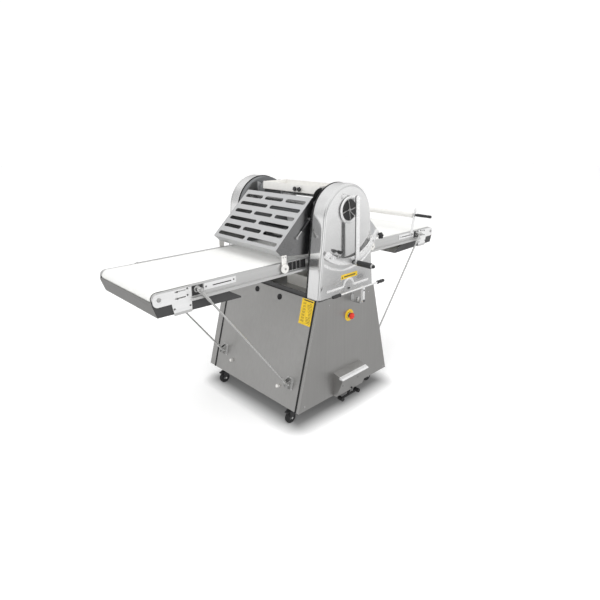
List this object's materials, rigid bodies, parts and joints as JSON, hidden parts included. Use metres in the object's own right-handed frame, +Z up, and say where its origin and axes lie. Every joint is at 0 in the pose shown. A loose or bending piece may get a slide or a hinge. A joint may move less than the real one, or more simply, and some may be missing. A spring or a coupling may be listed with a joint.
{
  "type": "dough sheeter",
  "caption": "Floor-standing dough sheeter: tapered base on casters, roller head with thickness lever, folding belt tables and slotted guards.",
  "frame": {"origin": "on the floor under the middle of the base: the plane of the lower roller's axis and halfway between the base covers", "axes": "+X along the belt tables toward the dough reel, -Y toward the operator's side with the lever, +Z up"},
  "size_m": [2.34, 1.081, 1.3968],
  "materials": {
    "steel_sheet": "satin brushed stainless sheet",
    "polished_steel": "polished stainless, deep drawn",
    "frame_steel": "grey powder coat",
    "bright_steel": "bright ground steel",
    "white_enamel": "gloss light grey enamel",
    "guard_metal": "satin silver coat",
    "roller_chrome": "hard chrome, ground",
    "belt_fabric": "woven food belt, white",
    "black_rubber": "black rubber",
    "black_plastic": "moulded black plastic",
    "white_plastic": "moulded white plastic",
    "red_plastic": "moulded red plastic",
    "yellow_label": "printed yellow label",
    "motor_paint": "blue-grey enamel on cast aluminium",
    "dark_screw": "blackened steel"
  },
  "bodies": {
    "base": {"base_frame": "frame_steel", "side_panels": "steel_sheet", "front_cover": "steel_sheet", "rear_cover": "steel_sheet", "seals": "black_rubber", "strut_brackets": "bright_steel", "deck_tray": "steel_sheet", "crumb_pan": "white_plastic", "side_frames": "frame_steel", "front_head_cover": "polished_steel", "rear_head_cover": "polished_steel", "roller_bearings": "frame_steel", "drive_motor": "motor_paint", "drive_belt": "black_rubber", "lower_scraper": "white_plastic", "quadrant_plate": "polished_steel", "star_knobs": "black_plastic", "pedal_cover": "steel_sheet", "label_plates": "yellow_label", "joystick_bracket": "bright_steel", "cover_screws": "dark_screw", "flour_bin": "white_plastic"},
    "lever": {"lever": "polished_steel", "lever_grip": "black_plastic", "adjusting_shaft": "bright_steel"},
    "roller_carriage": {"roller_carriage": "frame_steel"},
    "upper_roller": {"upper_roller": "roller_chrome"},
    "lower_roller": {"lower_roller": "roller_chrome"},
    "motor_pulley": {"motor_pulley": "frame_steel"},
    "joystick": {"joystick": "bright_steel"},
    "pedal": {"pedal": "frame_steel"},
    "estop_button": {"estop_button": "red_plastic"},
    "left_table": {"left_table_frame": "white_enamel", "left_belt": "belt_fabric", "left_tray": "steel_sheet"},
    "left_struts": {"left_struts": "bright_steel"},
    "left_drive_roller": {"left_drive_roller": "bright_steel"},
    "left_end_roller": {"left_end_roller": "bright_steel"},
    "left_guard_shaft": {"left_guard_shaft": "bright_steel"},
    "left_guard": {"left_guard": "guard_metal"},
    "left_guard_wheels": {"left_guard_wheels": "white_plastic"},
    "right_table": {"right_table_frame": "white_enamel", "right_belt": "belt_fabric", "right_tray": "steel_sheet"},
    "right_struts": {"right_struts": "bright_steel"},
    "right_drive_roller": {"right_drive_roller": "bright_steel"},
    "right_end_roller": {"right_end_roller": "bright_steel"},
    "right_guard_shaft": {"right_guard_shaft": "bright_steel"},
    "right_guard": {"right_guard": "guard_metal"},
    "right_guard_wheels": {"right_guard_wheels": "white_plastic"},
    "reel_arms": {"reel_arms": "bright_steel"},
    "dough_reel": {"dough_reel": "white_plastic"},
    "caster_fork_fl": {"caster_fork_fl": "black_plastic"},
    "caster_wheel_fl": {"caster_wheel_fl": "black_rubber"},
    "caster_fork_fr": {"caster_fork_fr": "black_plastic"},
    "caster_wheel_fr": {"caster_wheel_fr": "black_rubber"},
    "caster_fork_rl": {"caster_fork_rl": "black_plastic"},
    "caster_wheel_rl": {"caster_wheel_rl": "black_rubber"},
    "caster_fork_rr": {"caster_fork_rr": "black_plastic"},
    "caster_wheel_rr": {"caster_wheel_rr": "black_rubber"}
  },
  "joints": [
    {"name": "lever_swing", "type": "hinge", "parent": "base", "child": "lever", "pos_m": [-0.012, 0, 1.245], "axis": [0, -1, 0], "range_deg": [-40, 46], "stiffness_Nm_per_rad": 30, "springref_deg": 0.65},
    {"name": "roller_lift", "type": "slide", "parent": "base", "child": "roller_carriage", "axis": [0, 0, 1], "range_m": [-0.0169, 0.0194], "stiffness_N_per_m": 8000, "springref_m": 0.04077},
    {"name": "lower_roller_spin", "type": "hinge", "parent": "base", "child": "lower_roller", "pos_m": [0, 0, 0.93], "axis": [0, 1, 0], "continuous": true},
    {"name": "upper_roller_spin", "type": "hinge", "parent": "roller_carriage", "child": "upper_roller", "pos_m": [0, 0, 1.035], "axis": [0, 1, 0], "continuous": true},
    {"name": "motor_spin", "type": "hinge", "parent": "base", "child": "motor_pulley", "pos_m": [0, 0, 0.26], "axis": [0, 1, 0], "continuous": true},
    {"name": "left_table_fold", "type": "hinge", "parent": "base", "child": "left_table", "pos_m": [-0.195, 0, 0.945], "axis": [0, 1, 0], "range_deg": [0, 52]},
    {"name": "left_strut_swing", "type": "hinge", "parent": "left_table", "child": "left_struts", "pos_m": [-0.94, 0, 0.951], "axis": [0, 1, 0], "range_deg": [-15, 0]},
    {"name": "left_drive_roller_spin", "type": "hinge", "parent": "left_table", "child": "left_drive_roller", "pos_m": [-0.088, 0, 0.9425], "axis": [0, 1, 0], "continuous": true},
    {"name": "left_end_roller_spin", "type": "hinge", "parent": "left_table", "child": "left_end_roller", "pos_m": [-1.136, 0, 0.9425], "axis": [0, 1, 0], "continuous": true},
    {"name": "left_guard_raise", "type": "hinge", "parent": "base", "child": "left_guard_shaft", "pos_m": [-0.14, 0, 1.28], "axis": [0, 1, 0], "range_deg": [0, 80], "stiffness_Nm_per_rad": 30, "springref_deg": 15.21},
    {"name": "left_guard_lift", "type": "hinge", "parent": "left_guard_shaft", "child": "left_guard", "pos_m": [-0.14, 0, 1.28], "axis": [0, 1, 0], "range_deg": [0, 15], "stiffness_Nm_per_rad": 30, "springref_deg": 15.21},
    {"name": "left_guard_wheel_spin", "type": "hinge", "parent": "left_guard", "child": "left_guard_wheels", "pos_m": [-0.39, 0, 0.9422], "axis": [0, 1, 0], "continuous": true},
    {"name": "right_table_fold", "type": "hinge", "parent": "base", "child": "right_table", "pos_m": [0.195, 0, 0.945], "axis": [0, -1, 0], "range_deg": [0, 52]},
    {"name": "right_strut_swing", "type": "hinge", "parent": "right_table", "child": "right_struts", "pos_m": [0.94, 0, 0.951], "axis": [0, -1, 0], "range_deg": [-15, 0]},
    {"name": "right_drive_roller_spin", "type": "hinge", "parent": "right_table", "child": "right_drive_roller", "pos_m": [0.088, 0, 0.9425], "axis": [0, 1, 0], "continuous": true},
    {"name": "right_end_roller_spin", "type": "hinge", "parent": "right_table", "child": "right_end_roller", "pos_m": [1.136, 0, 0.9425], "axis": [0, 1, 0], "continuous": true},
    {"name": "right_guard_raise", "type": "hinge", "parent": "base", "child": "right_guard_shaft", "pos_m": [0.14, 0, 1.28], "axis": [0, -1, 0], "range_deg": [0, 80], "stiffness_Nm_per_rad": 30, "springref_deg": 15.21},
    {"name": "right_guard_lift", "type": "hinge", "parent": "right_guard_shaft", "child": "right_guard", "pos_m": [0.14, 0, 1.28], "axis": [0, -1, 0], "range_deg": [0, 15], "stiffness_Nm_per_rad": 30, "springref_deg": 15.21},
    {"name": "right_guard_wheel_spin", "type": "hinge", "parent": "right_guard", "child": "right_guard_wheels", "pos_m": [0.39, 0, 0.9422], "axis": [0, 1, 0], "continuous": true},
    {"name": "reel_fold", "type": "hinge", "parent": "right_table", "child": "reel_arms", "pos_m": [0.862, 0, 0.956], "axis": [0, 1, 0], "range_deg": [-60, 0]},
    {"name": "reel_spin", "type": "hinge", "parent": "reel_arms", "child": "dough_reel", "pos_m": [0.892, 0, 1.092], "axis": [0, 1, 0], "continuous": true},
    {"name": "joystick_rock", "type": "hinge", "parent": "base", "child": "joystick", "pos_m": [0.038, -0.49, 0.705], "axis": [0, 1, 0], "range_deg": [-12, 12], "stiffness_Nm_per_rad": 10, "springref_deg": 1.03},
    {"name": "pedal_rock", "type": "hinge", "parent": "base", "child": "pedal", "pos_m": [0.013, -0.446, 0.122], "axis": [0, 1, 0], "range_deg": [-8, 8], "stiffness_Nm_per_rad": 2, "springref_deg": -0.38},
    {"name": "estop_press", "type": "slide", "parent": "base", "child": "estop_button", "axis": [0, 1, 0], "range_m": [0, 0.005]},
    {"name": "caster_swivel_fl", "type": "hinge", "parent": "base", "child": "caster_fork_fl", "pos_m": [-0.36, -0.335, 0.099], "axis": [0, 0, 1], "continuous": true},
    {"name": "caster_spin_fl", "type": "hinge", "parent": "caster_fork_fl", "child": "caster_wheel_fl", "pos_m": [-0.388, -0.335, 0.036], "axis": [0, 1, 0], "continuous": true},
    {"name": "caster_swivel_fr", "type": "hinge", "parent": "base", "child": "caster_fork_fr", "pos_m": [0.36, -0.335, 0.099], "axis": [0, 0, 1], "continuous": true},
    {"name": "caster_spin_fr", "type": "hinge", "parent": "caster_fork_fr", "child": "caster_wheel_fr", "pos_m": [0.332, -0.335, 0.036], "axis": [0, 1, 0], "continuous": true},
    {"name": "caster_swivel_rl", "type": "hinge", "parent": "base", "child": "caster_fork_rl", "pos_m": [-0.36, 0.335, 0.099], "axis": [0, 0, 1], "continuous": true},
    {"name": "caster_spin_rl", "type": "hinge", "parent": "caster_fork_rl", "child": "caster_wheel_rl", "pos_m": [-0.388, 0.335, 0.036], "axis": [0, 1, 0], "continuous": true},
    {"name": "caster_swivel_rr", "type": "hinge", "parent": "base", "child": "caster_fork_rr", "pos_m": [0.36, 0.335, 0.099], "axis": [0, 0, 1], "continuous": true},
    {"name": "caster_spin_rr", "type": "hinge", "parent": "caster_fork_rr", "child": "caster_wheel_rr", "pos_m": [0.332, 0.335, 0.036], "axis": [0, 1, 0], "continuous": true}
  ],
  "couplings": [
    {"joint": "roller_lift", "follows": "lever_swing", "m_per_rad": 0.024},
    {"joint": "upper_roller_spin", "follows": "lower_roller_spin", "ratio": -1},
    {"joint": "motor_spin", "follows": "lower_roller_spin", "ratio": 1.55},
    {"joint": "left_strut_swing", "follows": "left_table_fold", "ratio": -0.279},
    {"joint": "left_drive_roller_spin", "follows": "lower_roller_spin", "ratio": 1.4426},
    {"joint": "left_end_roller_spin", "follows": "lower_roller_spin", "ratio": 1.4426},
    {"joint": "left_guard_raise", "follows": "left_table_fold", "ratio": 1.5},
    {"joint": "right_strut_swing", "follows": "right_table_fold", "ratio": -0.279},
    {"joint": "right_drive_roller_spin", "follows": "lower_roller_spin", "ratio": 1.4426},
    {"joint": "right_end_roller_spin", "follows": "lower_roller_spin", "ratio": 1.4426},
    {"joint": "right_guard_raise", "follows": "right_table_fold", "ratio": 1.5}
  ]
}
